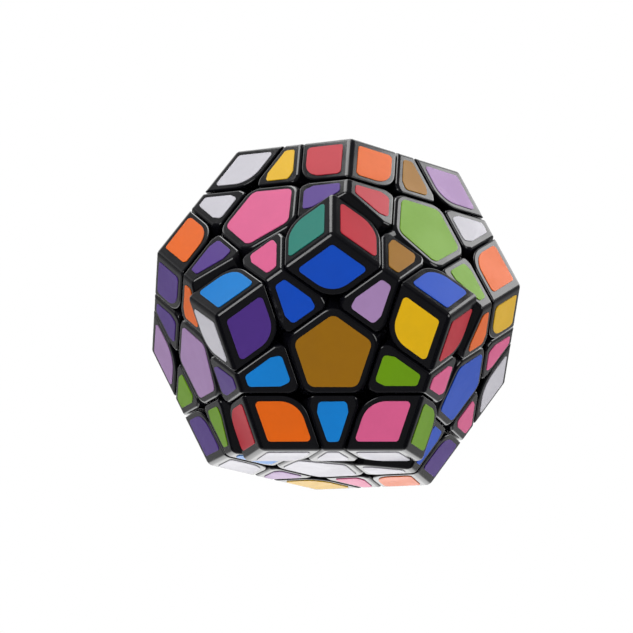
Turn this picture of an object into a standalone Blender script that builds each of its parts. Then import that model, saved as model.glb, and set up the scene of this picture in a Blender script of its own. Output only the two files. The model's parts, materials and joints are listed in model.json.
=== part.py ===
"""Dodecahedron twisty puzzle: twelve turning faces, with 20 corner, 30 edge and 12 centre pieces around
a twelve-armed core.

The frame is in metres, +Z up, with the origin at the middle of the core, where all twelve turning axes
meet. The puzzle's bottom face is level and its front face looks along -Y and a little down. Its front
layer stands a few degrees round from where it lines up, as it does while someone turns it.

How the pieces hold together: each face has a turning plane, and every surface between a layer and the rest
is turned about that face's axis, so the layer can go all the way round. Under the cover of the outer
blocks, each corner and edge has a foot, which is wider than its neck. A corner's foot runs under the edges
beside it, an edge's foot runs under the centres beside it, and a screw and a spring hold each turning
centre to an arm of the core.
"""

import itertools
import math

import bmesh
import bpy
from mathutils import Matrix, Quaternion, Vector

MM = 0.001

# Overall size and the turning planes
EDGE_LENGTH = 30.0 * MM  # of the whole dodecahedron
TURNING_ANGLE = math.radians(47.8)  # from a face's axis to where its turning plane cuts the inscribed sphere
FRONT_LAYER_TURN = math.radians(5.5)  # how far round the front layer stands at rest

# Outer blocks
CLEARANCE = 0.4 * MM  # between any two neighbouring pieces
RIDGE_CHAMFER = 0.7 * MM  # on each side of a ridge between two faces
CORNER_ROUNDING = 6.5 * MM  # of a corner block's vertical edge next to the centre
EDGE_ROUNDING = 3.0 * MM  # of an edge block's two vertical edges next to the centre
CENTRE_ROUNDING = 3.6 * MM  # of a centre block's five vertical edges
SMALL_ROUNDING = 0.8 * MM  # of an edge block's two vertical edges at the ridge

# Feet
COVER = 2.5 * MM  # plastic over the feet, measured on a face's axis
COVER_GAP = 0.8 * MM  # between that plastic and the feet, which are both faceted
FOOT_HEIGHT = 5.4 * MM
FOOT_ANGLE = math.radians(51.0)  # of the cone round a face's axis that its layer's feet fill

# Core, and the screwed stack inside each centre, which hangs from the centre's cover
CORE_RADIUS = 7.5 * MM
ARM_RADIUS = 3.8 * MM
HUB_WALL = 1.5 * MM  # round the cavity for the spring and the screw's head
HUB_FLOOR = 2.0 * MM  # between the arm and the spring
HUB_GAP = 0.3 * MM  # between an arm's end and the hub that turns on it
SCREW_RADIUS = 1.5 * MM
SCREW_BITE = 8.0 * MM  # how deep the screw goes into its arm
SCREW_HEAD_HEIGHT = 2.0 * MM
SCREW_SLOT_WIDTH = 0.8 * MM
SCREW_SLOT_DEPTH = 0.9 * MM
HEAD_ROOM = 1.5 * MM  # between the screw's head and the cover
BORE_CLEARANCE = 0.3 * MM  # round the screw, in the arm and in the hub's floor
CAVITY_CLEARANCE = 0.5 * MM  # between the cavity and the head and spring inside it
SPRING_LENGTH = 7.0 * MM
SPRING_WIRE_RADIUS = 0.3 * MM
SPRING_TURNS = 4
SEAT_GAP = 0.3 * MM  # at each end of the spring

# How finely round shapes are divided
ARC_STEPS = 3
CONE_SEGMENTS = 24
ROUND_SEGMENTS = 16
SPRING_STEPS = 8  # points for each turn
BALL_SUBDIVISIONS = 3

# What follows from them
FACE_SPACING = math.atan(2)  # angle between the axes of two neighbouring faces
FACE_TILT = math.pi / 2 - FACE_SPACING  # of the upper ring's axes above the horizon
FIFTH = math.radians(72)
INRADIUS = EDGE_LENGTH / 2 * math.sqrt((25 + 11 * math.sqrt(5)) / 10)
TURNING_PLANE = INRADIUS * math.cos(TURNING_ANGLE)
INSIDE = TURNING_PLANE + CLEARANCE / 2  # where a piece of a layer ends
OUTSIDE = TURNING_PLANE - CLEARANCE / 2  # where its neighbour below the turning plane begins
RIDGE = INRADIUS - RIDGE_CHAMFER * math.sin(FACE_SPACING)  # of the next face's height, at a chamfer's edge
COVER_BOTTOM = INRADIUS - COVER + COVER_GAP / 2
FOOT_TOP = INRADIUS - COVER - COVER_GAP / 2
FOOT_BOTTOM = FOOT_TOP - FOOT_HEIGHT
HUB_RADIUS = FOOT_BOTTOM * math.tan(FACE_SPACING - FOOT_ANGLE) - CLEARANCE  # inside the edges' feet
CAVITY_RADIUS = HUB_RADIUS - HUB_WALL
CAVITY_TOP = INRADIUS - COVER
HEAD_TOP = CAVITY_TOP - HEAD_ROOM
HEAD_BOTTOM = HEAD_TOP - SCREW_HEAD_HEIGHT
HEAD_RADIUS = CAVITY_RADIUS - CAVITY_CLEARANCE
SPRING_BOTTOM = HEAD_BOTTOM - SEAT_GAP - SPRING_LENGTH
SPRING_RADIUS = CAVITY_RADIUS - CAVITY_CLEARANCE - SPRING_WIRE_RADIUS  # to the middle of the wire
CAVITY_BOTTOM = SPRING_BOTTOM - SEAT_GAP
HUB_BOTTOM = CAVITY_BOTTOM - HUB_FLOOR
ARM_REACH = HUB_BOTTOM - HUB_GAP  # from the middle of the core to the end of an arm
FAR = 3 * INRADIUS  # outside everything

BLACK = ("black_plastic", (0.012, 0.012, 0.016), 0.35, 0.0)
MATT_BLACK = ("core_plastic", (0.012, 0.012, 0.016), 0.5, 0.0)
STEEL = ("zinc_steel", (0.55, 0.56, 0.58), 0.3, 1.0)

# Each ring goes anticlockwise as seen from above, from the first face's bearing
UPPER_RING = ("farright", "back", "farleft", "frontleft", "frontright")
LOWER_RING = ("backright", "backleft", "left", "front", "right")
FIRST_UPPER_BEARING = math.radians(18)
TURNING_FACES = ("front", "top", "backleft")  # no two of these touch, so their layers share no piece


def face_axes():
    """The outward unit axis of each of the twelve faces, by name."""
    axes = {"top": Vector((0, 0, 1)), "bottom": Vector((0, 0, -1))}
    for ring, tilt, first in (
        (UPPER_RING, FACE_TILT, FIRST_UPPER_BEARING),
        (LOWER_RING, -FACE_TILT, FIRST_UPPER_BEARING + FIFTH / 2),
    ):
        for step, name in enumerate(ring):
            bearing = first + step * FIFTH
            level = math.cos(tilt)
            axes[name] = Vector((level * math.cos(bearing), level * math.sin(bearing), math.sin(tilt)))
    return axes


AXES = face_axes()


def touch(first, second):
    """Whether two faces share a ridge."""
    return abs(AXES[first].angle(AXES[second]) - FACE_SPACING) < math.radians(1)


def neighbours(face):
    """The five faces round a face, anticlockwise as seen from outside, from any of them."""
    axis = AXES[face]
    found = [name for name in AXES if touch(face, name)]
    start = AXES[found[0]] - axis * axis.dot(AXES[found[0]])
    side = axis.cross(start)

    def bearing(name):
        return math.atan2(AXES[name].dot(side), AXES[name].dot(start)) % (2 * math.pi)

    return sorted(found, key=bearing)


def corner_faces():
    """The three faces of each corner, anticlockwise as seen from outside."""
    for a, b, c in itertools.combinations(AXES, 3):
        if touch(a, b) and touch(b, c) and touch(a, c):
            outward = AXES[a].cross(AXES[b]).dot(AXES[c]) > 0
            yield (a, b, c) if outward else (a, c, b)


def edge_faces():
    """The two faces of each edge."""
    return [pair for pair in itertools.combinations(AXES, 2) if touch(*pair)]


def ends_of(edge):
    """The two faces that an edge's ends point to."""
    return [name for name in AXES if touch(name, edge[0]) and touch(name, edge[1])]


def meeting_point(*planes):
    """The point where three planes meet. Each plane is a face's name and a height along its axis."""
    rows = Matrix([AXES[face] for face, _ in planes])
    return rows.inverted() @ Vector([height for _, height in planes])


def rounded(corners, radii):
    """The outline through these corners, with an arc of its own radius at each."""
    outline = []
    count = len(corners)
    for index, (corner, radius) in enumerate(zip(corners, radii)):
        if radius == 0:
            outline.append(corner)
            continue
        back = (corners[index - 1] - corner).normalized()
        ahead = (corners[(index + 1) % count] - corner).normalized()
        half = back.angle(ahead) / 2
        middle = corner + (back + ahead).normalized() * (radius / math.sin(half))
        start = (corner + back * (radius / math.tan(half)) - middle).normalized()
        end = (corner + ahead * (radius / math.tan(half)) - middle).normalized()
        for step in range(ARC_STEPS + 1):
            outline.append(middle + start.slerp(end, step / ARC_STEPS) * radius)
    return outline


def new_object(name, mesh):
    """An object in the helpers' collection."""
    made = bpy.data.objects.new(name, mesh)
    helpers.objects.link(made)
    return made


def from_bmesh(name, shape):
    mesh = bpy.data.meshes.new(name)
    shape.to_mesh(mesh)
    shape.free()
    return new_object(name, mesh)


def hull(name, points):
    """The convex solid round these points."""
    shape = bmesh.new()
    for point in points:
        shape.verts.new(point)
    bmesh.ops.convex_hull(shape, input=shape.verts)
    loose = [vertex for vertex in shape.verts if not vertex.link_faces]
    bmesh.ops.delete(shape, geom=loose, context="VERTS")
    bmesh.ops.dissolve_limit(shape, angle_limit=math.radians(0.5), verts=shape.verts, edges=shape.edges)
    bmesh.ops.recalc_face_normals(shape, faces=shape.faces)
    return from_bmesh(name, shape)


def ball(name, radius):
    shape = bmesh.new()
    bmesh.ops.create_icosphere(shape, subdivisions=BALL_SUBDIVISIONS, radius=radius)
    return from_bmesh(name, shape)


def rod(name, axis, start, end, radius):
    """A cylinder along an axis through the origin, from one distance to another."""
    shape = bmesh.new()
    turn = Vector((0, 0, 1)).rotation_difference(axis).to_matrix().to_4x4()
    bmesh.ops.create_cone(
        shape,
        cap_ends=True,
        segments=ROUND_SEGMENTS,
        radius1=radius,
        radius2=radius,
        depth=end - start,
        matrix=turn @ Matrix.Translation((0, 0, (start + end) / 2)),
    )
    return from_bmesh(name, shape)


def foot_cone(name, face, gap):
    """The cone that the feet of a face's layer fill, with its surface moved outwards by a gap."""
    shape = bmesh.new()
    turn = Vector((0, 0, 1)).rotation_difference(AXES[face]).to_matrix().to_4x4()
    apex = -gap / math.sin(FOOT_ANGLE)
    bmesh.ops.create_cone(
        shape,
        cap_ends=True,
        segments=CONE_SEGMENTS,
        radius1=0,
        radius2=FAR * math.tan(FOOT_ANGLE),
        depth=FAR,
        matrix=turn @ Matrix.Translation((0, 0, apex + FAR / 2)),
    )
    return from_bmesh(name, shape)


def combine(target, operation, *tools, solver="MANIFOLD"):
    """Adds a Boolean with each tool to the target's modifiers.

    The exact solver leaves open edges where the facets of balls and cones nearly coincide, so only the
    screws, which have no such facets, use it.
    """
    for tool in tools:
        step = target.modifiers.new(f"{operation} {tool.name}", "BOOLEAN")
        step.operation = operation
        step.object = tool
        step.solver = solver
    return target


def finished_mesh(target, name):
    """The target's mesh with its modifiers applied."""
    graph = bpy.context.evaluated_depsgraph_get()
    mesh = bpy.data.meshes.new_from_object(target.evaluated_get(graph))
    mesh.name = name
    mesh.shade_smooth()
    mesh.set_sharp_from_angle(angle=math.radians(30))
    return mesh


def below(name, axis, height):
    """A block that fills the space under a plane across an axis."""
    shape = bmesh.new()
    turn = Vector((0, 0, 1)).rotation_difference(axis).to_matrix().to_4x4()
    place = turn @ Matrix.Translation((0, 0, height - FAR / 2))
    bmesh.ops.create_cube(shape, size=FAR, matrix=place)
    return from_bmesh(name, shape)


def foot(name, inside, outside):
    """A foot: what a ball leaves inside the cones of these faces and outside the cones of those."""
    axis = sum((AXES[face] for face in inside), Vector()).normalized()
    made = ball(name, FOOT_TOP)
    cones = [foot_cone(f"{name} in {face}", face, -CLEARANCE / 2) for face in inside]
    pockets = [foot_cone(f"{name} out {face}", face, CLEARANCE / 2) for face in outside]
    combine(made, "INTERSECT", *cones)
    combine(made, "DIFFERENCE", *pockets, below(f"{name} underside", axis, FOOT_BOTTOM))
    return made


def pocket(name, face):
    """The room that a neighbouring layer's feet turn through: its cone, up to the cover's underside."""
    made = foot_cone(name, face, CLEARANCE / 2)
    return combine(made, "INTERSECT", ball(f"{name} limit", COVER_BOTTOM))


def corner_mesh(faces):
    """A corner piece: its three-sided block, which narrows to a neck, on its foot."""
    points = [meeting_point(*((face, INSIDE) for face in faces))]
    for face in faces:
        left, right = (other for other in faces if other != face)
        heights = ((INSIDE, INSIDE), (RIDGE, INSIDE), (RIDGE, RIDGE), (INSIDE, RIDGE))
        outline = [
            meeting_point((face, INRADIUS), (left, left_height), (right, right_height))
            for left_height, right_height in heights
        ]
        points += rounded(outline, (CORNER_ROUNDING, 0, 0, 0))
    block = hull("corner block", points)
    combine(block, "UNION", foot("corner foot", faces, ()))
    return finished_mesh(block, "corner")


def edge_mesh(faces):
    """An edge piece: its two-sided block, hollowed underneath for the corners' feet, on its foot."""
    first, second = faces
    one_end, other_end = ends_of(faces)
    points = [meeting_point((first, INSIDE), (second, INSIDE), (end, OUTSIDE)) for end in (one_end, other_end)]
    sides = ((INSIDE, one_end), (RIDGE, one_end), (RIDGE, other_end), (INSIDE, other_end))
    for face, across in (faces, faces[::-1]):
        outline = [meeting_point((face, INRADIUS), (across, height), (end, OUTSIDE)) for height, end in sides]
        points += rounded(outline, (EDGE_ROUNDING, SMALL_ROUNDING, SMALL_ROUNDING, EDGE_ROUNDING))
    block = hull("edge block", points)
    pockets = [pocket(f"edge pocket {end}", end) for end in (one_end, other_end)]
    combine(block, "DIFFERENCE", *pockets)
    combine(block, "UNION", foot("edge foot", faces, (one_end, other_end)))
    return finished_mesh(block, "edge")


def centre_block(face):
    """A centre piece without its cavity: its five-sided block, hollow underneath for the feet, on its hub."""
    around = neighbours(face)
    points = []
    for height in (INRADIUS, FOOT_BOTTOM):
        outline = [
            meeting_point((face, height), (left, OUTSIDE), (right, OUTSIDE))
            for left, right in zip(around, around[1:] + around[:1])
        ]
        points += rounded(outline, [CENTRE_ROUNDING] * 5)
    block = hull("centre block", points)
    combine(block, "DIFFERENCE", ball("centre underside", COVER_BOTTOM))
    return combine(block, "UNION", rod("hub", AXES[face], HUB_BOTTOM, INRADIUS - COVER / 2, HUB_RADIUS))


def fixed_centre_mesh(face):
    """A centre that never leaves the core in this model, so its hub is solid."""
    return finished_mesh(centre_block(face), "fixed centre")


def turning_centre_mesh(face):
    """A centre with the cavity for its spring and screw, open through the hole in its floor."""
    cavity = rod("cavity", AXES[face], CAVITY_BOTTOM, CAVITY_TOP, CAVITY_RADIUS)
    hole = rod("floor hole", AXES[face], HUB_BOTTOM - MM, CAVITY_BOTTOM + MM, SCREW_RADIUS + BORE_CLEARANCE)
    centre = combine(centre_block(face), "DIFFERENCE", cavity, hole)
    return finished_mesh(centre, "turning centre")


def core_mesh(centre, home):
    """The core's ball and arms, with the nine fixed centres on it, and a screw hole in each other arm."""
    core = ball("core ball", CORE_RADIUS)
    for face, axis in AXES.items():
        if face in TURNING_FACES:
            combine(core, "UNION", rod(f"arm {face}", axis, 0, ARM_REACH, ARM_RADIUS))
            continue
        fixed = new_object(f"fixed centre {face}", centre)
        fixed.matrix_world = placement(home, (face, neighbours(face)[0]))
        arm = rod(f"arm {face}", axis, 0, CAVITY_BOTTOM, ARM_RADIUS)
        combine(core, "UNION", fixed, arm)
    for face in TURNING_FACES:
        start = ARM_REACH - SCREW_BITE - BORE_CLEARANCE
        hole = rod(f"screw hole {face}", AXES[face], start, ARM_REACH + MM, SCREW_RADIUS + BORE_CLEARANCE)
        combine(core, "DIFFERENCE", hole)
    return finished_mesh(core, "core")


def screw_mesh(axis):
    """A pan-head screw along an axis, with a slot across its head."""
    start, end = ARM_REACH - SCREW_BITE, HEAD_BOTTOM + SCREW_HEAD_HEIGHT / 2
    shank = rod("screw shank", axis, start, end, SCREW_RADIUS)
    combine(shank, "UNION", rod("screw head", axis, HEAD_BOTTOM, HEAD_TOP, HEAD_RADIUS), solver="EXACT")
    shape = bmesh.new()
    turn = Vector((0, 0, 1)).rotation_difference(axis).to_matrix().to_4x4()
    sizes = Matrix.Diagonal((3 * HEAD_RADIUS, SCREW_SLOT_WIDTH, 2 * SCREW_SLOT_DEPTH, 1))
    bmesh.ops.create_cube(shape, size=1, matrix=turn @ Matrix.Translation((0, 0, HEAD_TOP)) @ sizes)
    combine(shank, "DIFFERENCE", from_bmesh("screw slot", shape), solver="EXACT")
    return finished_mesh(shank, "screw")


def spring_mesh(axis):
    """A coil spring along an axis: round wire on a helix."""
    line = bpy.data.curves.new("spring", "CURVE")
    line.dimensions = "3D"
    line.bevel_depth = SPRING_WIRE_RADIUS
    line.bevel_resolution = 2
    line.use_fill_caps = True
    count = SPRING_TURNS * SPRING_STEPS + 1
    rise = SPRING_LENGTH - 2 * SPRING_WIRE_RADIUS
    spline = line.splines.new("POLY")
    spline.points.add(count - 1)
    turn = Vector((0, 0, 1)).rotation_difference(axis).to_matrix()
    for step, point in enumerate(spline.points):
        angle = 2 * math.pi * step / SPRING_STEPS
        height = SPRING_BOTTOM + SPRING_WIRE_RADIUS + rise * step / (count - 1)
        place = Vector((SPRING_RADIUS * math.cos(angle), SPRING_RADIUS * math.sin(angle), height))
        point.co = (*(turn @ place), 1)
    coil = new_object("spring line", line)
    graph = bpy.context.evaluated_depsgraph_get()
    mesh = bpy.data.meshes.new_from_object(coil.evaluated_get(graph))
    mesh.name = "spring"
    shape = bmesh.new()
    shape.from_mesh(mesh)
    bmesh.ops.remove_doubles(shape, verts=shape.verts, dist=0.001 * MM)
    bmesh.ops.recalc_face_normals(shape, faces=shape.faces)
    shape.to_mesh(mesh)
    shape.free()
    mesh.shade_smooth()
    return mesh


def placement(home, faces):
    """The rotation that carries a piece made at its home faces to another place of the same kind."""

    def frame(names):
        first, second = AXES[names[0]], AXES[names[1]]
        return Matrix((first, second, first.cross(second))).transposed()

    return (frame(faces) @ frame(home).inverted()).to_4x4()


def material(name, colour, roughness, metallic):
    made = bpy.data.materials.new(name)
    made.use_nodes = True
    surface = made.node_tree.nodes["Principled BSDF"]
    surface.inputs["Base Color"].default_value = (*colour, 1)
    surface.inputs["Roughness"].default_value = roughness
    surface.inputs["Metallic"].default_value = metallic
    return made


def layer_pivots():
    """One empty for each turning layer, at the origin, which is on every turning axis."""
    pivots = {}
    for face in TURNING_FACES:
        pivot = bpy.data.objects.new(f"{face}_layer_pivot", None)
        puzzle.objects.link(pivot)
        pivots[face] = pivot
    pivots["front"].rotation_mode = "QUATERNION"
    pivots["front"].rotation_quaternion = Quaternion(AXES["front"], FRONT_LAYER_TURN)
    return pivots


def place(name, mesh, finish, matrix, faces, pivots):
    """A piece of the puzzle, on its layer's pivot if one of its faces turns."""
    made = bpy.data.objects.new(name, mesh)
    made.data.materials.clear()
    made.data.materials.append(finish)
    puzzle.objects.link(made)
    made.matrix_local = matrix
    for face in set(faces) & set(pivots):
        made.parent = pivots[face]


def build():
    finishes = {look[0]: material(*look) for look in (BLACK, MATT_BLACK, STEEL)}
    plastic, metal = finishes["black_plastic"], finishes["zinc_steel"]
    pivots = layer_pivots()

    corners = list(corner_faces())
    corner = corner_mesh(corners[0])
    for faces in corners:
        place("corner_" + "_".join(faces), corner, plastic, placement(corners[0], faces), faces, pivots)

    edges = edge_faces()
    edge = edge_mesh(edges[0])
    for faces in edges:
        place("edge_" + "_".join(faces), edge, plastic, placement(edges[0], faces), faces, pivots)

    home = ("top", neighbours("top")[0])
    turning_centre = turning_centre_mesh("top")
    screw, spring = screw_mesh(AXES["top"]), spring_mesh(AXES["top"])
    for face in TURNING_FACES:
        matrix = placement(home, (face, neighbours(face)[0]))
        place(f"centre_{face}", turning_centre, plastic, matrix, (face,), pivots)
        place(f"screw_{face}", screw, metal, matrix, (), pivots)
        place(f"spring_{face}", spring, metal, matrix, (), pivots)

    core = core_mesh(fixed_centre_mesh("top"), home)
    place("core_with_fixed_centres", core, finishes["core_plastic"], Matrix.Identity(4), (), pivots)


for old in list(bpy.data.objects):
    bpy.data.objects.remove(old)
puzzle = bpy.data.collections.new("dodecahedron_puzzle")
helpers = bpy.data.collections.new("helpers")
for group in (puzzle, helpers):
    bpy.context.scene.collection.children.link(group)
build()
for helper in helpers.objects:
    helper.hide_render = True
    helper.display_type = "WIRE"
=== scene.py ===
import itertools
import json
import math
import random

import bmesh
import bpy
from mathutils import Matrix, Quaternion, Vector

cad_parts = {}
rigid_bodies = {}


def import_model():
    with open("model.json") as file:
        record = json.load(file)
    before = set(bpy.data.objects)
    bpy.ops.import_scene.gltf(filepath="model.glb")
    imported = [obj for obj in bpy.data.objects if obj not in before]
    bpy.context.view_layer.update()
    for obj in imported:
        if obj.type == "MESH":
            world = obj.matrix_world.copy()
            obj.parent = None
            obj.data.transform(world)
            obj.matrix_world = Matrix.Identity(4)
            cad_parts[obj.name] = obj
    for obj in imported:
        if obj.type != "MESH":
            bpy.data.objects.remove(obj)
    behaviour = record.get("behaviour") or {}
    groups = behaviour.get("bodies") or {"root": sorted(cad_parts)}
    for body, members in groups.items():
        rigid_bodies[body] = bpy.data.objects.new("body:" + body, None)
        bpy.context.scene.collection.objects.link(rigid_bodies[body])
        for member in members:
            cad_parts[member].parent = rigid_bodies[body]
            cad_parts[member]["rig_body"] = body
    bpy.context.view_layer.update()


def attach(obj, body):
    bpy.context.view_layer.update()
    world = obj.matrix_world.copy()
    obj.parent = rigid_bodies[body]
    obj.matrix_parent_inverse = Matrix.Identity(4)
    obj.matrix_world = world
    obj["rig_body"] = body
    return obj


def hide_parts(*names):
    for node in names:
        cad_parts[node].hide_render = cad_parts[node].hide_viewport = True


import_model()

MM = 0.001

# The puzzle's overall shape, as in the frame
EDGE_LENGTH = 30.0 * MM
TURNING_ANGLE = math.radians(47.8)  # from a face's axis to where its turning plane cuts the inscribed sphere
FRONT_LAYER_TURN = math.radians(5.5)  # how far round the front layer stands at rest
FACE_SPACING = math.atan(2)  # angle between the axes of two neighbouring faces
FACE_TILT = math.pi / 2 - FACE_SPACING
FIFTH = math.radians(72)
UPPER_RING = ("farright", "back", "farleft", "frontleft", "frontright")
LOWER_RING = ("backright", "backleft", "left", "front", "right")
FIRST_UPPER_BEARING = math.radians(18)
TURNING_FACES = ("front", "top", "backleft")

# Moulded blocks
BLOCK_GAP = 0.4 * MM  # between neighbouring blocks
RIM_ROUNDING = 0.55 * MM  # taken off each side of a block's rim
RIDGE_ROUNDING = 1.0 * MM  # taken off each side of a ridge between two faces
BEVEL_STEPS = 4
CORNER_ROUNDING = 6.5 * MM  # of a corner block's vertical edge next to the centre
EDGE_ROUNDING = 1.2 * MM  # of an edge block's four vertical edges next to the centre
SHOULDER_DEPTH = 2.3 * MM  # from an edge block's widest place to its end next to the centre
SHOULDER_WIDTH = 1.0 * MM  # how much narrower each side is at that end
CENTRE_ROUNDING = 3.6 * MM  # of a centre block's five vertical edges
ARC_STEPS = 10

# Feet under the blocks
COVER = 2.5 * MM  # plastic over the feet, measured on a face's axis
COVER_GAP = 0.8 * MM  # between that plastic and the feet
FOOT_GAP = 0.4 * MM  # between neighbouring feet
FOOT_HEIGHT = 5.4 * MM
FOOT_ANGLE = math.radians(51.0)  # of the cone round a face's axis that its layer's feet fill
CONE_SEGMENTS = 96
BALL_SUBDIVISIONS = 5

# Core, screws and springs
CORE_RADIUS = 7.5 * MM
ARM_RADIUS = 3.8 * MM
HUB_WALL = 1.5 * MM  # round the cavity for the spring and the screw's head
HUB_FLOOR = 2.0 * MM  # between the arm and the spring
HUB_GAP = 0.3 * MM  # between an arm's end and the hub that turns on it
SCREW_RADIUS = 1.5 * MM
SCREW_BITE = 8.0 * MM  # how deep a screw goes into its arm
SCREW_HEAD_HEIGHT = 2.0 * MM
SCREW_SLOT_WIDTH = 0.8 * MM
SCREW_SLOT_DEPTH = 0.9 * MM
THREAD_PITCH = 0.9 * MM
THREAD_DEPTH = 0.2 * MM
TIP_SHARE = 0.5  # of a screw's radius, at its tip
UNDERSIDE_SHARE = 0.96  # of its head's radius, at the head's underside
HEAD_CHAMFER = 0.1 * MM  # height of the slope there
HEAD_FLAT = 0.45  # share of the head's radius that is flat on top
HEAD_ROOM = 1.5 * MM  # between a screw's head and the cover
BORE_CLEARANCE = 0.3 * MM
CAVITY_CLEARANCE = 0.5 * MM
SPRING_LENGTH = 7.0 * MM
SPRING_WIRE_RADIUS = 0.3 * MM
SPRING_TURNS = 5
SPRING_STEPS = 24
END_TURNS_CLOSED = 0.8  # how nearly a spring's end turns lie flat, from 0 to 1
SEAT_GAP = 0.3 * MM  # at each end of a spring
ROUND_SEGMENTS = 48
CREASE = math.radians(40)  # a bend sharper than this stays an edge
FLAT = math.radians(0.3)  # and faces that bend less than this are one
MERGE = 0.002 * MM  # points nearer than this are one

# Stickers
STICKER_THICKNESS = 0.16 * MM
STICKER_SINK = 0.02 * MM  # how far a sticker's glue presses into the plastic
STICKER_LIP = 0.06 * MM  # rounding of its top edge
STICKER_MARGIN = 1.35 * MM  # bare plastic between a sticker and its block's sides
RIDGE_MARGIN = 1.9 * MM  # and between a sticker and a ridge
CORNER_STICKER_ROUNDING = 5.4 * MM  # of the sticker's corner next to the centre
EDGE_STICKER_ROUNDING = 0.9 * MM
CENTRE_STICKER_ROUNDING = 1.8 * MM
SMALL_STICKER_ROUNDING = 0.8 * MM
STICKER_SLIP = 0.1 * MM  # how far off its place a sticker may be stuck
STICKER_SKEW = math.radians(0.8)

# What follows from them
INRADIUS = EDGE_LENGTH / 2 * math.sqrt((25 + 11 * math.sqrt(5)) / 10)
TURNING_PLANE = INRADIUS * math.cos(TURNING_ANGLE)
BLOCK_TOP = INRADIUS - STICKER_THICKNESS
INSIDE = TURNING_PLANE + BLOCK_GAP / 2
OUTSIDE = TURNING_PLANE - BLOCK_GAP / 2
COVER_BOTTOM = INRADIUS - COVER + COVER_GAP / 2
FOOT_TOP = INRADIUS - COVER - COVER_GAP / 2
FOOT_BOTTOM = FOOT_TOP - FOOT_HEIGHT
HUB_RADIUS = FOOT_BOTTOM * math.tan(FACE_SPACING - FOOT_ANGLE) - FOOT_GAP
CAVITY_RADIUS = HUB_RADIUS - HUB_WALL
CAVITY_TOP = INRADIUS - COVER
HEAD_TOP = CAVITY_TOP - HEAD_ROOM
HEAD_BOTTOM = HEAD_TOP - SCREW_HEAD_HEIGHT
HEAD_RADIUS = CAVITY_RADIUS - CAVITY_CLEARANCE
SPRING_BOTTOM = HEAD_BOTTOM - SEAT_GAP - SPRING_LENGTH
SPRING_RADIUS = CAVITY_RADIUS - CAVITY_CLEARANCE - SPRING_WIRE_RADIUS
CAVITY_BOTTOM = SPRING_BOTTOM - SEAT_GAP
HUB_BOTTOM = CAVITY_BOTTOM - HUB_FLOOR
ARM_REACH = HUB_BOTTOM - HUB_GAP
IN_FACE = math.sin(FACE_SPACING)  # change of a neighbour's height for each step towards it along a face
FAR = 3 * INRADIUS

# Camera and stage
CAMERA_DISTANCE = 717 * MM
CAMERA_AZIMUTH = math.radians(-0.68)
CAMERA_ELEVATION = math.radians(-13.74)
CAMERA_ROLL = math.radians(5.1)
CAMERA_AIM = Vector((-3.7 * MM, 0, 0))
CAMERA_LENS = 189
CAMERA_SIDE_LIGHT = 0.08  # strength of the room on the camera's side
FAR_SIDE_LIGHT = 1.0  # and behind the puzzle
MIRRORED_WHITE = 2.1  # strength of the white behind the puzzle, where the puzzle mirrors it
MIRRORED_HANDS = 0.4  # and low on the left and right, where hands stand in front of it
FLOOR_LEVEL = -0.30
FLOOR_SIZE = 6.0

# Each round softbox: its bearing and height in degrees, how far off it hangs, its size, and how many times as
# bright it is as the white behind the puzzle
SOFTBOXES = {
    "left_softbox": (-35, 14, 1.0, 0.5, 6.8),
    "right_softbox": (64, 10, 1.0, 0.5, 4.3),
    "overhead_softbox": (-99, 72, 1.0, 0.6, 6),
    "upper_right_softbox": (109, 39, 1.0, 0.5, 5),
}

# The twelve sticker colours, as seen on a screen
COLOURS = {
    "white": "D4D2DA",
    "yellow": "EDBB03",
    "gold": "9F6C03",
    "orange": "F16903",
    "red": "C42A3A",
    "pink": "E76396",
    "lilac": "AF8BBE",
    "purple": "503088",
    "blue": "054DC6",
    "sky": "0384DA",
    "teal": "1C7E70",
    "green": "70A103",
}

# Each face's colours: its centre's, then its edges' and its corners', both anticlockwise as seen from
# outside. The first edge is the one next to the named face, and the first corner follows it. A dash is any
# colour.
FACE_COLOURS = {
    "front": ("gold", "bottom", "sky green lilac blue sky", "pink yellow blue purple orange"),
    "frontleft": ("pink", "top", "yellow white purple pink purple", "white orange sky teal red"),
    "frontright": ("green", "top", "gold red gold green white", "orange red blue orange lilac"),
    "left": ("lilac", "bottom", "green purple orange purple -", "red white purple lilac -"),
    "right": ("blue", "bottom", "- pink pink orange pink", "- white yellow red -"),
    "bottom": ("white", "front", "white sky lilac pink white", "white white yellow orange white"),
}


def face_axes():
    """The outward unit axis of each of the twelve faces, by name."""
    axes = {"top": Vector((0, 0, 1)), "bottom": Vector((0, 0, -1))}
    for ring, tilt, first in (
        (UPPER_RING, FACE_TILT, FIRST_UPPER_BEARING),
        (LOWER_RING, -FACE_TILT, FIRST_UPPER_BEARING + FIFTH / 2),
    ):
        for step, name in enumerate(ring):
            bearing = first + step * FIFTH
            level = math.cos(tilt)
            axes[name] = Vector((level * math.cos(bearing), level * math.sin(bearing), math.sin(tilt)))
    return axes


AXES = face_axes()


def touch(first, second):
    """Whether two faces share a ridge."""
    return abs(AXES[first].angle(AXES[second]) - FACE_SPACING) < math.radians(1)


def neighbours(face, first=None):
    """The five faces round a face, anticlockwise as seen from outside, starting from the first."""
    axis = AXES[face]
    found = [name for name in AXES if touch(face, name)]
    first = first or found[0]
    start = AXES[first] - axis * axis.dot(AXES[first])
    side = axis.cross(start)

    def bearing(name):
        return round(math.atan2(AXES[name].dot(side), AXES[name].dot(start)), 3) % (2 * math.pi)

    return sorted(found, key=bearing)


def corner_faces():
    """The three faces of each corner, anticlockwise as seen from outside."""
    for a, b, c in itertools.combinations(AXES, 3):
        if touch(a, b) and touch(b, c) and touch(a, c):
            outward = AXES[a].cross(AXES[b]).dot(AXES[c]) > 0
            yield (a, b, c) if outward else (a, c, b)


def edge_faces():
    """The two faces of each edge."""
    return [pair for pair in itertools.combinations(AXES, 2) if touch(*pair)]


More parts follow.
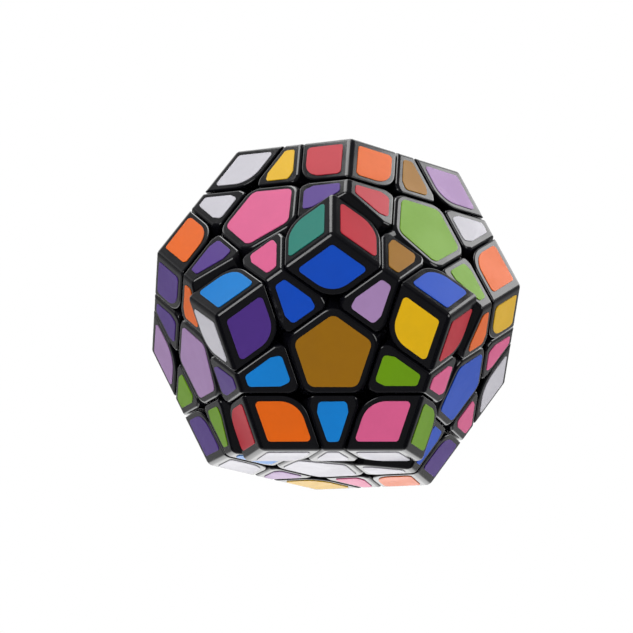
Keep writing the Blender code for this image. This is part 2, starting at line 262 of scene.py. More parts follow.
def ends_of(edge):
    """The two faces that an edge's ends point to."""
    return [name for name in AXES if touch(name, edge[0]) and touch(name, edge[1])]


def meeting_point(*planes):
    """The point where three planes meet. Each plane is a face's name and a height along its axis."""
    rows = Matrix([AXES[face] for face, _ in planes])
    return rows.inverted() @ Vector([height for _, height in planes])


def rounded(corners, radii):
    """The outline through these corners, with an arc of its own radius at each."""
    outline = []
    count = len(corners)
    for index, (corner, radius) in enumerate(zip(corners, radii)):
        if radius == 0:
            outline.append(corner)
            continue
        back = (corners[index - 1] - corner).normalized()
        ahead = (corners[(index + 1) % count] - corner).normalized()
        half = back.angle(ahead) / 2
        middle = corner + (back + ahead).normalized() * (radius / math.sin(half))
        start = (corner + back * (radius / math.tan(half)) - middle).normalized()
        end = (corner + ahead * (radius / math.tan(half)) - middle).normalized()
        for step in range(ARC_STEPS + 1):
            outline.append(middle + start.slerp(end, step / ARC_STEPS) * radius)
    return outline


def placement(home, faces):
    """The rotation that carries a piece made at its home faces to another place of the same kind."""

    def base(names):
        first, second = AXES[names[0]], AXES[names[1]]
        return Matrix((first, second, first.cross(second))).transposed()

    return (base(faces) @ base(home).inverted()).to_4x4()


# Mesh helpers


def helper(name, shape):
    """An object that only lends its mesh to others."""
    mesh = bpy.data.meshes.new(name)
    shape.to_mesh(mesh)
    shape.free()
    made = bpy.data.objects.new(name, mesh)
    bpy.context.scene.collection.objects.link(made)
    return made


def mark_rims(shape, faces):
    """Marks how much the bevel rounds each edge: all of it on a ridge, a share of it on a rim."""
    weight = shape.edges.layers.float.new("bevel_weight_edge")

    def is_top(polygon):
        return any(polygon.normal.dot(AXES[face]) > 0.999 for face in faces)

    for edge in shape.edges:
        tops = sum(is_top(polygon) for polygon in edge.link_faces)
        if tops == 2:
            edge[weight] = 1.0
        elif tops == 1:
            edge[weight] = RIM_ROUNDING / RIDGE_ROUNDING


def block(name, points, faces):
    """The convex block round these points, with rounded rims and ridges on these faces."""
    shape = bmesh.new()
    for point in points:
        shape.verts.new(point)
    bmesh.ops.convex_hull(shape, input=shape.verts)
    loose = [vertex for vertex in shape.verts if not vertex.link_faces]
    bmesh.ops.delete(shape, geom=loose, context="VERTS")
    bmesh.ops.dissolve_limit(shape, angle_limit=FLAT, verts=shape.verts, edges=shape.edges)
    bmesh.ops.recalc_face_normals(shape, faces=shape.faces)
    mark_rims(shape, faces)
    made = helper(name, shape)
    bevel = made.modifiers.new("rims", "BEVEL")
    bevel.limit_method = "WEIGHT"
    bevel.width = RIDGE_ROUNDING
    bevel.segments = BEVEL_STEPS
    return made


def ball(name, radius):
    shape = bmesh.new()
    bmesh.ops.create_icosphere(shape, subdivisions=BALL_SUBDIVISIONS, radius=radius)
    return helper(name, shape)


def turn_to(axis):
    return Vector((0, 0, 1)).rotation_difference(axis).to_matrix().to_4x4()


def rod(name, axis, start, end, radius):
    """A cylinder along an axis through the origin, from one distance to another."""
    place = turn_to(axis) @ Matrix.Translation((0, 0, (start + end) / 2))
    shape = bmesh.new()
    bmesh.ops.create_cone(
        shape,
        cap_ends=True,
        segments=ROUND_SEGMENTS,
        radius1=radius,
        radius2=radius,
        depth=end - start,
        matrix=place,
    )
    return helper(name, shape)


def foot_cone(name, face, gap):
    """The cone that the feet of a face's layer fill, with its surface moved outwards by a gap."""
    shape = bmesh.new()
    apex = -gap / math.sin(FOOT_ANGLE)
    place = turn_to(AXES[face]) @ Matrix.Translation((0, 0, apex + FAR / 2))
    wide = FAR * math.tan(FOOT_ANGLE)
    bmesh.ops.create_cone(
        shape, cap_ends=True, segments=CONE_SEGMENTS, radius1=0, radius2=wide, depth=FAR, matrix=place
    )
    return helper(name, shape)


def below(name, axis, height):
    """A block that fills the space under a plane across an axis."""
    place = turn_to(axis) @ Matrix.Translation((0, 0, height - FAR / 2))
    shape = bmesh.new()
    bmesh.ops.create_cube(shape, size=FAR, matrix=place)
    return helper(name, shape)


def combine(target, operation, *tools):
    """Adds a Boolean with each tool to the target's modifiers."""
    for tool in tools:
        step = target.modifiers.new(f"{operation} {tool.name}", "BOOLEAN")
        step.operation = operation
        step.object = tool
        step.solver = "MANIFOLD"
    return target


def evaluated_mesh(target):
    """The target's mesh with its modifiers applied."""
    bpy.context.view_layer.update()
    graph = bpy.context.evaluated_depsgraph_get()
    return bpy.data.meshes.new_from_object(target.evaluated_get(graph))


def applied(target, name, crease=CREASE):
    """The target's mesh with its modifiers applied, smooth except at its creases, its flats kept flat."""
    shape = bmesh.new()
    shape.from_mesh(evaluated_mesh(target))
    bmesh.ops.remove_doubles(shape, verts=shape.verts, dist=MERGE)
    bmesh.ops.dissolve_degenerate(shape, edges=shape.edges, dist=MERGE)
    made = helper(name, shape)
    made.data.shade_smooth()
    made.data.set_sharp_from_angle(angle=crease)
    weighted = made.modifiers.new("flats", "WEIGHTED_NORMAL")
    weighted.keep_sharp = True
    return evaluated_mesh(made)


# The moulded pieces


def foot(name, inside, outside):
    """A foot: what a ball leaves inside the cones of these faces and outside the cones of those."""
    axis = sum((AXES[face] for face in inside), Vector()).normalized()
    made = ball(name, FOOT_TOP)
    for face in inside:
        combine(made, "INTERSECT", foot_cone(f"{name} in {face}", face, -FOOT_GAP / 2))
    for face in outside:
        combine(made, "DIFFERENCE", foot_cone(f"{name} out {face}", face, FOOT_GAP / 2))
    return combine(made, "DIFFERENCE", below(f"{name} underside", axis, FOOT_BOTTOM))


def corner_outline(face, left, right, near, far):
    """The four corners of a corner block's outline on a face, from the one next to the centre."""
    heights = ((near, near), (far, near), (far, far), (near, far))
    return [meeting_point((face, BLOCK_TOP), (left, one), (right, other)) for one, other in heights]


def corner_mesh(faces):
    """A corner piece: its three-sided block, which narrows to a neck, on its foot."""
    points = [meeting_point(*((face, INSIDE) for face in faces))]
    for face in faces:
        left, right = (other for other in faces if other != face)
        outline = corner_outline(face, left, right, INSIDE, BLOCK_TOP)
        points += rounded(outline, (CORNER_ROUNDING, 0, 0, 0))
    made = block("corner block", points, faces)
    return applied(combine(made, "UNION", foot("corner foot", faces, ())), "corner")


def edge_outline(face, across, ends, near, far, side):
    """The six corners of an edge block's outline on a face: its shoulders, its inner end and its ridge."""
    near_shoulder = near + IN_FACE * SHOULDER_DEPTH
    narrow_side = side - IN_FACE * SHOULDER_WIDTH
    one_end, other_end = ends
    heights = (
        (near_shoulder, other_end, side),
        (near, other_end, narrow_side),
        (near, one_end, narrow_side),
        (near_shoulder, one_end, side),
        (far, one_end, side),
        (far, other_end, side),
    )
    top = (face, BLOCK_TOP)
    return [meeting_point(top, (across, height), (end, reach)) for height, end, reach in heights]


def edge_mesh(faces):
    """An edge piece: its two-sided block, hollowed underneath for the corners' feet, on its foot."""
    first, second = faces
    ends = ends_of(faces)
    points = [meeting_point((first, INSIDE), (second, INSIDE), (end, OUTSIDE)) for end in ends]
    for face, across in (faces, faces[::-1]):
        outline = edge_outline(face, across, ends, INSIDE, BLOCK_TOP, OUTSIDE)
        points += rounded(outline, [EDGE_ROUNDING] * 4 + [0, 0])
    made = block("edge block", points, faces)
    for end in ends:
        pocket = foot_cone(f"edge pocket {end}", end, FOOT_GAP / 2)
        combine(pocket, "INTERSECT", ball(f"edge pocket {end} limit", COVER_BOTTOM))
        combine(made, "DIFFERENCE", pocket)
    return applied(combine(made, "UNION", foot("edge foot", faces, ends)), "edge")


def centre_mesh(face):
    """A centre piece: its five-sided cover on a hollow hub, open through the hole in the hub's floor."""
    around = neighbours(face)
    points = []
    for height in (BLOCK_TOP, FOOT_BOTTOM):
        outline = [
            meeting_point((face, height), (left, OUTSIDE), (right, OUTSIDE))
            for left, right in zip(around, around[1:] + around[:1])
        ]
        points += rounded(outline, [CENTRE_ROUNDING] * 5)
    made = block("centre block", points, (face,))
    axis = AXES[face]
    combine(made, "DIFFERENCE", ball("centre underside", COVER_BOTTOM))
    combine(made, "UNION", rod("hub", axis, HUB_BOTTOM, INRADIUS - COVER / 2, HUB_RADIUS))
    cavity = rod("cavity", axis, CAVITY_BOTTOM, CAVITY_TOP, CAVITY_RADIUS)
    hole = rod("floor hole", axis, HUB_BOTTOM - MM, CAVITY_BOTTOM + MM, SCREW_RADIUS + BORE_CLEARANCE)
    return applied(combine(made, "DIFFERENCE", cavity, hole), "centre")


def core_mesh():
    """The core: a ball with twelve arms, each with a screw hole in its end."""
    made = ball("core ball", CORE_RADIUS)
    for face, axis in AXES.items():
        combine(made, "UNION", rod(f"arm {face}", axis, 0, ARM_REACH, ARM_RADIUS))
    start = ARM_REACH - SCREW_BITE - BORE_CLEARANCE
    for face, axis in AXES.items():
        bore = rod(f"bore {face}", axis, start, ARM_REACH + MM, SCREW_RADIUS + BORE_CLEARANCE)
        combine(made, "DIFFERENCE", bore)
    return applied(made, "core")


def screw_profile():
    """Half a screw's section, as radii and heights, from the middle of its tip to the top of its head."""
    start = ARM_REACH - SCREW_BITE
    steps = int((HEAD_BOTTOM - start) / THREAD_PITCH) * 2
    profile = [(0, start), (SCREW_RADIUS * TIP_SHARE, start)]
    for step in range(steps):
        crest = SCREW_RADIUS - (THREAD_DEPTH if step % 2 else 0)
        profile.append((crest, start + (step + 1) * THREAD_PITCH / 2))
    profile.append((SCREW_RADIUS, HEAD_BOTTOM))
    profile.append((HEAD_RADIUS * UNDERSIDE_SHARE, HEAD_BOTTOM))
    profile.append((HEAD_RADIUS, HEAD_BOTTOM + HEAD_CHAMFER))
    dome = SCREW_HEAD_HEIGHT - HEAD_CHAMFER
    for step in range(ARC_STEPS + 1):
        angle = math.pi / 2 * step / ARC_STEPS
        across = HEAD_RADIUS * (HEAD_FLAT + (1 - HEAD_FLAT) * math.cos(angle))
        profile.append((across, HEAD_TOP - dome + dome * math.sin(angle)))
    profile.append((0, HEAD_TOP))
    return profile


def turned(profile):
    """The shape that a profile makes when it goes round the vertical."""
    shape = bmesh.new()
    rings = []
    for radius, height in profile:
        if radius == 0:
            rings.append([shape.verts.new((0, 0, height))])
            continue
        ring = []
        for step in range(ROUND_SEGMENTS):
            angle = 2 * math.pi * step / ROUND_SEGMENTS
            ring.append(shape.verts.new((radius * math.cos(angle), radius * math.sin(angle), height)))
        rings.append(ring)
    for lower, upper in itertools.pairwise(rings):
        for step in range(ROUND_SEGMENTS):
            onward = (step + 1) % ROUND_SEGMENTS
            if len(lower) == 1:
                shape.faces.new((lower[0], upper[onward], upper[step]))
            elif len(upper) == 1:
                shape.faces.new((lower[step], lower[onward], upper[0]))
            else:
                shape.faces.new((lower[step], lower[onward], upper[onward], upper[step]))
    bmesh.ops.recalc_face_normals(shape, faces=shape.faces)
    return shape


def screw_mesh(axis):
    """A pan-head screw along an axis, with a slot across its head and a thread below it."""
    shape = turned(screw_profile())
    shape.transform(turn_to(axis))
    made = helper("screw", shape)
    sizes = Matrix.Diagonal((3 * HEAD_RADIUS, SCREW_SLOT_WIDTH, 2 * SCREW_SLOT_DEPTH, 1))
    slot = bmesh.new()
    bmesh.ops.create_cube(slot, size=1, matrix=turn_to(axis) @ Matrix.Translation((0, 0, HEAD_TOP)) @ sizes)
    return applied(combine(made, "DIFFERENCE", helper("screw slot", slot)), "screw")


def spring_mesh(axis):
    """A coil spring along an axis: round wire on a helix, with its two end turns closed up."""
    line = bpy.data.curves.new("spring", "CURVE")
    line.dimensions = "3D"
    line.bevel_depth = SPRING_WIRE_RADIUS
    line.bevel_resolution = 4
    line.use_fill_caps = True
    count = SPRING_TURNS * SPRING_STEPS + 1
    rise = SPRING_LENGTH - 2 * SPRING_WIRE_RADIUS
    spline = line.splines.new("POLY")
    spline.points.add(count - 1)
    turn = turn_to(axis).to_3x3()
    for step, point in enumerate(spline.points):
        share = step / (count - 1)
        climb = share - END_TURNS_CLOSED * math.sin(2 * math.pi * share) / (2 * math.pi)
        angle = 2 * math.pi * step / SPRING_STEPS
        height = SPRING_BOTTOM + SPRING_WIRE_RADIUS + rise * climb
        place = Vector((SPRING_RADIUS * math.cos(angle), SPRING_RADIUS * math.sin(angle), height))
        point.co = (*(turn @ place), 1)
    coil = bpy.data.objects.new("spring line", line)
    bpy.context.scene.collection.objects.link(coil)
    return applied(coil, "spring")


# The stickers


def sticker_mesh(name, outline, radii, axis):
    """A thin sticker of this rounded outline, on a face's plane."""
    shape = bmesh.new()
    rim = [shape.verts.new(point - axis * STICKER_SINK) for point in rounded(outline, radii)]
    bottom = shape.faces.new(rim)
    grown = bmesh.ops.extrude_face_region(shape, geom=[bottom], use_keep_orig=True)
    raised = [part for part in grown["geom"] if isinstance(part, bmesh.types.BMVert)]
    bmesh.ops.translate(shape, verts=raised, vec=axis * (STICKER_THICKNESS + STICKER_SINK))
    bmesh.ops.recalc_face_normals(shape, faces=shape.faces)
    height = max(vertex.co.dot(axis) for vertex in shape.verts)
    top = [edge for edge in shape.edges if min(v.co.dot(axis) for v in edge.verts) > height - STICKER_LIP]
    bmesh.ops.bevel(shape, geom=top, offset=STICKER_LIP, segments=2, profile=0.5, affect="EDGES")
    return applied(helper(name, shape), name)


def corner_sticker(face, left, right):
    """The sticker on one face of a corner block."""
    near = INSIDE + IN_FACE * STICKER_MARGIN
    far = BLOCK_TOP - IN_FACE * RIDGE_MARGIN
    outline = corner_outline(face, left, right, near, far)
    radii = [CORNER_STICKER_ROUNDING] + [SMALL_STICKER_ROUNDING] * 3
    return sticker_mesh("corner sticker", outline, radii, AXES[face])


def edge_sticker(face, across):
    """The sticker on one face of an edge block."""
    near = INSIDE + IN_FACE * STICKER_MARGIN
    far = BLOCK_TOP - IN_FACE * RIDGE_MARGIN
    side = OUTSIDE - IN_FACE * STICKER_MARGIN
    outline = edge_outline(face, across, ends_of((face, across)), near, far, side)
    radii = [EDGE_STICKER_ROUNDING] * 4 + [SMALL_STICKER_ROUNDING] * 2
    return sticker_mesh("edge sticker", outline, radii, AXES[face])


def centre_sticker(face):
    """The sticker on a centre block."""
    around = neighbours(face)
    side = OUTSIDE - IN_FACE * STICKER_MARGIN
    outline = [
        meeting_point((face, BLOCK_TOP), (left, side), (right, side))
        for left, right in zip(around, around[1:] + around[:1])
    ]
    return sticker_mesh("centre sticker", outline, [CENTRE_STICKER_ROUNDING] * 5, AXES[face])


def sticker_colours():
    """The colour of the sticker on each face of each piece. A piece is a frozen set of faces."""
    colours = {}
    for face in AXES:
        centre, first, edges, corners = FACE_COLOURS.get(face, ("-", None, "- - - - -", "- - - - -"))
        around = neighbours(face, first)
        colours[face, frozenset((face,))] = centre
        for name, colour in zip(around, edges.split()):
            colours[face, frozenset((face, name))] = colour
        for name, onward, colour in zip(around, around[1:] + around[:1], corners.split()):
            colours[face, frozenset((face, name, onward))] = colour
    centres = [colours[face, frozenset((face,))] for face in AXES]
    free_centres = [name for name in COLOURS if name not in centres]
    for face in AXES:
        if colours[face, frozenset((face,))] == "-":
            colours[face, frozenset((face,))] = free_centres.pop(0)
    dice = random.Random(12)
    left = [name for name in COLOURS for _ in range(11 - list(colours.values()).count(name))]
    dice.shuffle(left)
    for place, colour in colours.items():
        if colour != "-":
            continue
        face, piece = place
        taken = {colours[other, piece] for other in piece}
        choice = next((name for name in left if name not in taken), left[0])
        left.remove(choice)
        colours[place] = choice
    return colours


# Materials


def add(tree, kind, inputs=None, **settings):
    """A new node. Each input is a value, or another node's output to link."""
    made = tree.nodes.new(kind)
    for name, value in settings.items():
        setattr(made, name, value)
    for name, value in (inputs or {}).items():
        if isinstance(value, bpy.types.NodeSocket):
            tree.links.new(value, made.inputs[name])
        else:
            made.inputs[name].default_value = value
    return made


def maths(tree, operation, first, second):
    return add(tree, "ShaderNodeMath", {0: first, 1: second}, operation=operation).outputs[0]


def spread(tree, value, low, high, to_low=0.0, to_high=1.0):
    """The value carried smoothly from one range to another, and held at its ends."""
    inputs = {"Value": value, "From Min": low, "From Max": high, "To Min": to_low, "To Max": to_high}
    return add(tree, "ShaderNodeMapRange", inputs, interpolation_type="SMOOTHSTEP").outputs["Result"]


def noise(tree, vector, scale, detail=2.0, roughness=0.5):
    inputs = {"Vector": vector, "Scale": scale, "Detail": detail, "Roughness": roughness}
    return add(tree, "ShaderNodeTexNoise", inputs).outputs[0]


def new_group(name, inputs, output):
    """An empty node group with number inputs and one number output, and its input and output nodes."""
    tree = bpy.data.node_groups.new(name, "ShaderNodeTree")
    for label, value in inputs.items():
        socket = tree.interface.new_socket(label, in_out="INPUT", socket_type="NodeSocketFloat")
        socket.default_value = value
    tree.interface.new_socket(output, in_out="OUTPUT", socket_type="NodeSocketFloat")
    return tree, tree.nodes.new("NodeGroupInput"), tree.nodes.new("NodeGroupOutput")


def handling_group():
    """Where hands have polished or smeared a surface: soft blotches with streaks in them, from 0 to 1."""
    tree, given, result = new_group("handling", {"Patches per metre": 90.0}, "Handled")
    place = add(tree, "ShaderNodeTexCoord").outputs["Object"]
    patches = noise(tree, place, given.outputs[0], detail=3.0)
    streaks = noise(tree, place, maths(tree, "MULTIPLY", given.outputs[0], 7.0), detail=4.0, roughness=0.65)
    both = maths(tree, "ADD", maths(tree, "MULTIPLY", patches, 0.7), maths(tree, "MULTIPLY", streaks, 0.3))
    tree.links.new(spread(tree, both, 0.36, 0.64), result.inputs[0])
    return tree


def grain_group():
    """The fine grain of a moulded or printed surface, as a height from 0 to 1."""
    tree, given, result = new_group("grain", {"Grains per metre": 6000.0}, "Height")
    place = add(tree, "ShaderNodeTexCoord").outputs["Object"]
    tree.links.new(noise(tree, place, given.outputs[0], detail=1.0), result.inputs[0])
    return tree


def scratches_group():
    """Fine scratches that run in three directions, as a mask from 0 to 1."""
    inputs = {"Scratches per metre": 700.0, "Amount": 0.5}
    tree, given, result = new_group("scratches", inputs, "Scratched")
    place = add(tree, "ShaderNodeTexCoord").outputs["Object"]
    share = maths(tree, "SUBTRACT", 1.0, maths(tree, "MULTIPLY", given.outputs["Amount"], 0.3))
    found = None
    for turn in ((0.3, 0.9, 0.2), (1.1, 0.4, 2.1), (2.3, 1.7, 0.8)):
        drawn_out = {"Vector": place, "Rotation": turn, "Scale": (1.0, 0.03, 1.0)}
        lines = noise(tree, add(tree, "ShaderNodeMapping", drawn_out).outputs[0], given.outputs[0])
        line = spread(tree, lines, share, maths(tree, "ADD", share, 0.06))
        found = line if found is None else maths(tree, "MAXIMUM", found, line)
    tree.links.new(found, result.inputs[0])
    return tree


def worn_edges_group():
    """Where the outer edges have been rubbed, as a mask from 0 to 1."""
    tree, given, result = new_group("worn edges", {"Reach": 0.5}, "Worn")
    place = add(tree, "ShaderNodeTexCoord").outputs["Object"]
    bend = add(tree, "ShaderNodeNewGeometry").outputs["Pointiness"]
    broken = spread(tree, noise(tree, place, 500.0, detail=5.0, roughness=0.7), 0.38, 0.66)
    start = maths(tree, "SUBTRACT", 0.62, maths(tree, "MULTIPLY", given.outputs[0], 0.1))
    outer = spread(tree, bend, start, 0.68)
    tree.links.new(maths(tree, "MULTIPLY", outer, broken), result.inputs[0])
    return tree


def turned_lines_group():
    """The fine lines that drawing or turning leaves on metal, as a height from 0 to 1."""
    tree, given, result = new_group("turned lines", {"Lines per metre": 9000.0}, "Height")
    place = add(tree, "ShaderNodeTexCoord").outputs["Object"]
    distance = add(tree, "ShaderNodeVectorMath", {0: place}, operation="LENGTH").outputs["Value"]
    rings = add(tree, "ShaderNodeCombineXYZ", {"X": distance}).outputs[0]
    tree.links.new(noise(tree, rings, given.outputs[0], detail=3.0), result.inputs[0])
    return tree


def effects():
    made = (handling_group(), grain_group(), scratches_group(), worn_edges_group(), turned_lines_group())
    return {tree.name: tree for tree in made}


def effect(tree, name, **inputs):
    """One of the shared effects, placed in a material with its own values."""
    made = add(tree, "ShaderNodeGroup", node_tree=EFFECTS[name])
    for label, value in inputs.items():
        made.inputs[label.replace("_", " ")].default_value = value
    return made.outputs[0]


def blank_material(name):
    """A new material's node tree and its shader."""
    made = bpy.data.materials.new(name)
    made.use_nodes = True
    return made, made.node_tree, made.node_tree.nodes["Principled BSDF"]


def linear(colour):
    """A screen colour in hexadecimal, as the linear colour that shaders take."""
    parts = [int(colour[start : start + 2], 16) / 255 for start in (0, 2, 4)]
    return (*[part / 12.92 if part <= 0.04045 else ((part + 0.055) / 1.055) ** 2.4 for part in parts], 1)


def mixed(tree, share, first, second):
    """A colour between two others."""
    made = add(tree, "ShaderNodeMix", data_type="RGBA")
    for index, value in ((0, share), (6, first), (7, second)):
        if isinstance(value, bpy.types.NodeSocket):
            tree.links.new(value, made.inputs[index])
        else:
            made.inputs[index].default_value = value
    return made.outputs[2]


def bumped(tree, height, depth, strength):
    """The normal of a surface with this relief."""
    inputs = {"Height": height, "Distance": depth, "Strength": strength}
    return add(tree, "ShaderNodeBump", inputs).outputs[0]


def moulded_plastic(name, colour, worn_colour, gloss, dulled):
    """Moulded black plastic: a fine grain, edges rubbed paler, scratches, and a gloss dulled by handling."""
    made, tree, surface = blank_material(name)
    handled = effect(tree, "handling", Patches_per_metre=110.0)
    scratched = effect(tree, "scratches", Scratches_per_metre=900.0, Amount=0.42)
    worn = effect(tree, "worn edges", Reach=0.6)
    rubbed = maths(tree, "MULTIPLY", worn, 0.8)
    marks = maths(tree, "MAXIMUM", rubbed, maths(tree, "MULTIPLY", scratched, 0.25))
    tree.links.new(mixed(tree, marks, linear(colour), linear(worn_colour)), surface.inputs["Base Color"])
    sheen = spread(tree, handled, 0.0, 1.0, gloss, dulled)
    roughness = maths(tree, "ADD", sheen, maths(tree, "MULTIPLY", marks, 0.15))
    tree.links.new(roughness, surface.inputs["Roughness"])
    height = maths(tree, "SUBTRACT", effect(tree, "grain", Grains_per_metre=5500.0), scratched)
    tree.links.new(bumped(tree, height, 0.004 * MM, 0.6), surface.inputs["Normal"])
    surface.inputs["IOR"].default_value = 1.45
    return made


def vinyl(name, colour):
    """Printed vinyl: a colour a little uneven in its ink, with a satin surface that hands have marked.

    The ink tints its shine.
    """
    made, tree, surface = blank_material(name)
    full = linear(colour)
    thin_ink = (*[part + (1 - part) * 0.05 for part in full[:3]], 1)
    dense_ink = (*[part * 0.95 for part in full[:3]], 1)
    handled = effect(tree, "handling", Patches_per_metre=140.0)
    scratched = effect(tree, "scratches", Scratches_per_metre=650.0, Amount=0.36)
    inked = mixed(tree, handled, full, dense_ink)
    scraped = maths(tree, "MULTIPLY", scratched, 0.6)
    tree.links.new(mixed(tree, scraped, inked, thin_ink), surface.inputs["Base Color"])
    sheen = spread(tree, handled, 0.0, 1.0, 0.34, 0.40)
    roughness = maths(tree, "ADD", sheen, maths(tree, "MULTIPLY", scratched, 0.1))
    tree.links.new(roughness, surface.inputs["Roughness"])
    height = maths(tree, "SUBTRACT", effect(tree, "grain", Grains_per_metre=1800.0), scratched)
    tree.links.new(bumped(tree, height, 0.006 * MM, 0.5), surface.inputs["Normal"])
    surface.inputs["IOR"].default_value = 1.5
    tint = [0.4 + 0.6 * part / max(full[:3]) for part in full[:3]]
    surface.inputs["Specular Tint"].default_value = (*tint, 1)
    return made


def plated_steel(name, colour, lines):
    """Zinc-plated steel, with the fine lines of its making."""
    made, tree, surface = blank_material(name)
    surface.inputs["Metallic"].default_value = 1.0
    handled = effect(tree, "handling", Patches_per_metre=600.0)
    tarnished = (*[part * 0.7 for part in linear(colour)[:3]], 1)
    tree.links.new(mixed(tree, handled, linear(colour), tarnished), surface.inputs["Base Color"])
    tree.links.new(spread(tree, handled, 0.0, 1.0, 0.22, 0.4), surface.inputs["Roughness"])
    height = effect(tree, "turned lines", Lines_per_metre=lines)
    tree.links.new(bumped(tree, height, 0.005 * MM, 0.5), surface.inputs["Normal"])
    return made


def pale_floor():
    """A pale matt floor. Seen from underneath, it lets the view through."""
    made, tree, surface = blank_material("pale_floor")
    handled = effect(tree, "handling", Patches_per_metre=3.0)
    paint = mixed(tree, handled, (0.8, 0.8, 0.8, 1), (0.76, 0.76, 0.77, 1))
    tree.links.new(paint, surface.inputs["Base Color"])
    surface.inputs["Roughness"].default_value = 0.9
    behind = add(tree, "ShaderNodeNewGeometry").outputs["Backfacing"]
    clear = add(tree, "ShaderNodeBsdfTransparent").outputs[0]
    both = add(tree, "ShaderNodeMixShader", {0: behind, 1: surface.outputs[0], 2: clear})
    tree.links.new(both.outputs[0], tree.nodes["Material Output"].inputs["Surface"])
    return made


# Putting the puzzle together


def body_of(faces):
    """The body that a piece with these faces rides on."""
    turning = set(faces) & set(TURNING_FACES)
    return f"{turning.pop()}_layer" if turning else "inner_frame"


def layer_turn(faces):
    """How far round a piece with these faces stands at rest."""
    turned = Quaternion(AXES["front"], FRONT_LAYER_TURN) if "front" in faces else Quaternion()
    return turned.to_matrix().to_4x4()


def put(name, mesh, finish, matrix, body, node=None):
    """A piece of the puzzle in its place. Its mesh is in the frame's coordinates, for marks of its own."""
    own = mesh.copy()
    own.name = name
    own.transform(matrix)
    own.materials.clear()
    own.materials.append(finish)
    made = bpy.data.objects.new(name, own)
    bpy.context.scene.collection.objects.link(made)
    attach(made, body)
    if node:
        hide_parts(node)
    return made


def slipped(face, middle):
    """A small slide and twist on a face's plane, about the middle of a sticker."""
    along = AXES[face].orthogonal().normalized() * DICE.uniform(-STICKER_SLIP, STICKER_SLIP)
    across = AXES[face].cross(along).normalized() * DICE.uniform(-STICKER_SLIP, STICKER_SLIP)
    twist = Matrix.Rotation(DICE.uniform(-STICKER_SKEW, STICKER_SKEW), 4, AXES[face])
    return Matrix.Translation(middle + along + across) @ twist @ Matrix.Translation(-middle)


def put_stickers(faces, shapes):
    """The stickers of one piece. Each shape is a face, a home sticker and the matrix that carries it."""
    for face, mesh, matrix in shapes:
        own = mesh.copy()
        own.transform(matrix)
        middle = sum((vertex.co for vertex in own.vertices), Vector()) / len(own.vertices)
        name = "sticker_" + "_".join((face, *[other for other in faces if other != face]))
        finish = VINYLS[COLOUR_OF[face, frozenset(faces)]]
        put(name, own, finish, layer_turn(faces) @ slipped(face, middle), body_of(faces))


def put_corners():
    home, *others = corner_faces()
    corner, sticker = corner_mesh(home), corner_sticker(*home)
    for faces in (home, *others):
        name = "_".join(faces)
        matrix = layer_turn(faces) @ placement(home, faces)
        body = body_of(faces)
        put(f"corner_block_{name}", corner, PLASTIC, matrix, body, f"corner_{name}")
        turns = [faces[start:] + faces[:start] for start in range(3)]
        put_stickers(faces, [(names[0], sticker, placement(home, names)) for names in turns])


def put_edges():
    home, *others = edge_faces()
    edge, sticker = edge_mesh(home), edge_sticker(*home)
    for faces in (home, *others):
        name = "_".join(faces)
        matrix = layer_turn(faces) @ placement(home, faces)
        body = body_of(faces)
        put(f"edge_block_{name}", edge, PLASTIC, matrix, body, f"edge_{name}")
        turns = (faces, faces[::-1])
        put_stickers(faces, [(names[0], sticker, placement(home, names)) for names in turns])


def put_centres():
    """The centres with their stickers, and the screw and spring that hold each one to the core.

    Only the centres of the turning layers have nodes of their own in the frame.
    """
    home = ("top", neighbours("top")[0])
    centre, sticker = centre_mesh("top"), centre_sticker("top")
    screw, spring = screw_mesh(AXES["top"]), spring_mesh(AXES["top"])
    for face in AXES:
        body = body_of((face,))
        nodes = [f"{kind}_{face}" for kind in ("centre", "screw", "spring")]
        if face not in TURNING_FACES:
            nodes = [None] * 3
        matrix = placement(home, (face, neighbours(face)[0]))
        turned_too = layer_turn((face,)) @ matrix
        put(f"centre_block_{face}", centre, PLASTIC, turned_too, body, nodes[0])
        put_stickers((face,), [(face, sticker, matrix)])
        put(f"bright_screw_{face}", screw, SCREW_STEEL, matrix, "inner_frame", nodes[1])
        put(f"coil_spring_{face}", spring, SPRING_STEEL, matrix, "inner_frame", nodes[2])


def put_core():
    """The core, which takes the place of the frame's core and of the nine centres joined to it there."""
    still = Matrix.Identity(4)
    node = "core_with_fixed_centres"
    put("twelve_armed_core", core_mesh(), CORE_PLASTIC, still, "inner_frame", node)


def put_pieces():
    """All the pieces of the puzzle. What only lent them its mesh goes."""
    before = set(bpy.data.objects)
    put_corners()
    put_edges()
    put_centres()
    put_core()
    for made in set(bpy.data.objects) - before:
        if "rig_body" not in made:
            bpy.data.objects.remove(made)


# Camera, lights and floor


def look(target, azimuth, elevation, distance):
    """A place this far from the target, and the turn that looks at the target from there."""
    level = math.cos(elevation)
    back = Vector((math.sin(azimuth) * level, -math.cos(azimuth) * level, math.sin(elevation)))
    return target + back * distance, (-back).to_track_quat("-Z", "Y")


def put_camera():
    lens = bpy.data.cameras.new("camera")
    lens.lens = CAMERA_LENS
    lens.sensor_width = 36
    lens.clip_start = 0.05
    lens.clip_end = 50
    camera = bpy.data.objects.new("camera", lens)
    place, turn = look(CAMERA_AIM, CAMERA_AZIMUTH, CAMERA_ELEVATION, CAMERA_DISTANCE)
    camera.location = place
    camera.rotation_mode = "QUATERNION"
    camera.rotation_quaternion = turn @ Quaternion((0, 0, 1), CAMERA_ROLL)
    bpy.context.scene.collection.objects.link(camera)
    bpy.context.scene.camera = camera


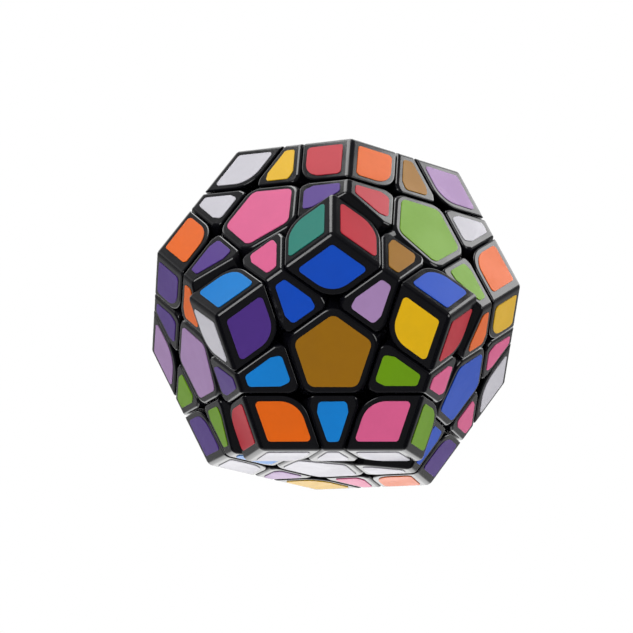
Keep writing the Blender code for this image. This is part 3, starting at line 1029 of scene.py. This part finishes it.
def put_softbox(name, azimuth, elevation, distance, size, brightness):
    """A round softbox that faces the puzzle. It shows in reflections, and the camera doesn't see it."""
    lamp = bpy.data.lights.new(name, "AREA")
    lamp.shape = "DISK"
    lamp.size = size
    lamp.energy = brightness * math.pi * math.pi * size**2 / 4
    light = bpy.data.objects.new(name, lamp)
    place, turn = look(Vector(), math.radians(azimuth), math.radians(elevation), distance)
    light.location = place
    light.rotation_mode = "QUATERNION"
    light.rotation_quaternion = turn
    light.visible_camera = False
    bpy.context.scene.collection.objects.link(light)


def put_surroundings():
    """A bright room: white behind the puzzle, and dim on the camera's side.

    The white that the puzzle mirrors is brighter than what lights it, except low on its left and right.
    """
    world = bpy.data.worlds.new("bright_room")
    bpy.context.scene.world = world
    world.use_nodes = True
    tree = world.node_tree
    direction = add(tree, "ShaderNodeTexCoord").outputs["Generated"]
    parts = add(tree, "ShaderNodeSeparateXYZ", {0: direction})
    lit = spread(tree, parts.outputs["Y"], 0.0, 0.7, CAMERA_SIDE_LIGHT, FAR_SIDE_LIGHT)
    aside = spread(tree, maths(tree, "ABSOLUTE", parts.outputs["X"], 0.0), 0.35, 0.5)
    low = spread(tree, parts.outputs["Z"], 0.4, 0.25)
    gain = spread(tree, maths(tree, "MULTIPLY", aside, low), 0.0, 1.0, MIRRORED_WHITE, MIRRORED_HANDS)
    rays = add(tree, "ShaderNodeLightPath").outputs
    chosen = add(tree, "ShaderNodeMix", {0: rays["Is Glossy Ray"], 2: 1.0, 3: gain}).outputs[0]
    strength = maths(tree, "MAXIMUM", maths(tree, "MULTIPLY", lit, chosen), rays["Is Camera Ray"])
    tree.links.new(strength, tree.nodes["Background"].inputs["Strength"])
    tree.nodes["Background"].inputs["Color"].default_value = (1, 1, 1, 1)


def put_floor():
    shape = bmesh.new()
    bmesh.ops.create_grid(shape, x_segments=4, y_segments=4, size=FLOOR_SIZE / 2)
    floor = helper("floor", shape)
    floor.location = (0, 0, FLOOR_LEVEL)
    floor.data.materials.append(pale_floor())
    floor.visible_glossy = False


# Making the scene

EFFECTS = effects()
PLASTIC = moulded_plastic("black_plastic", "0B0B10", "38383C", 0.1, 0.19)
CORE_PLASTIC = moulded_plastic("core_plastic", "101012", "303032", 0.38, 0.5)
SCREW_STEEL = plated_steel("screw_steel", "C8CACC", 6000.0)
SPRING_STEEL = plated_steel("spring_steel", "B4B4B2", 14000.0)
VINYLS = {name: vinyl(f"{name}_vinyl", colour) for name, colour in COLOURS.items()}
COLOUR_OF = sticker_colours()
DICE = random.Random(7)

put_pieces()
put_floor()
put_camera()
put_surroundings()
for name, setting in SOFTBOXES.items():
    put_softbox(name, *setting)
bpy.context.scene.view_settings.view_transform = "Standard"
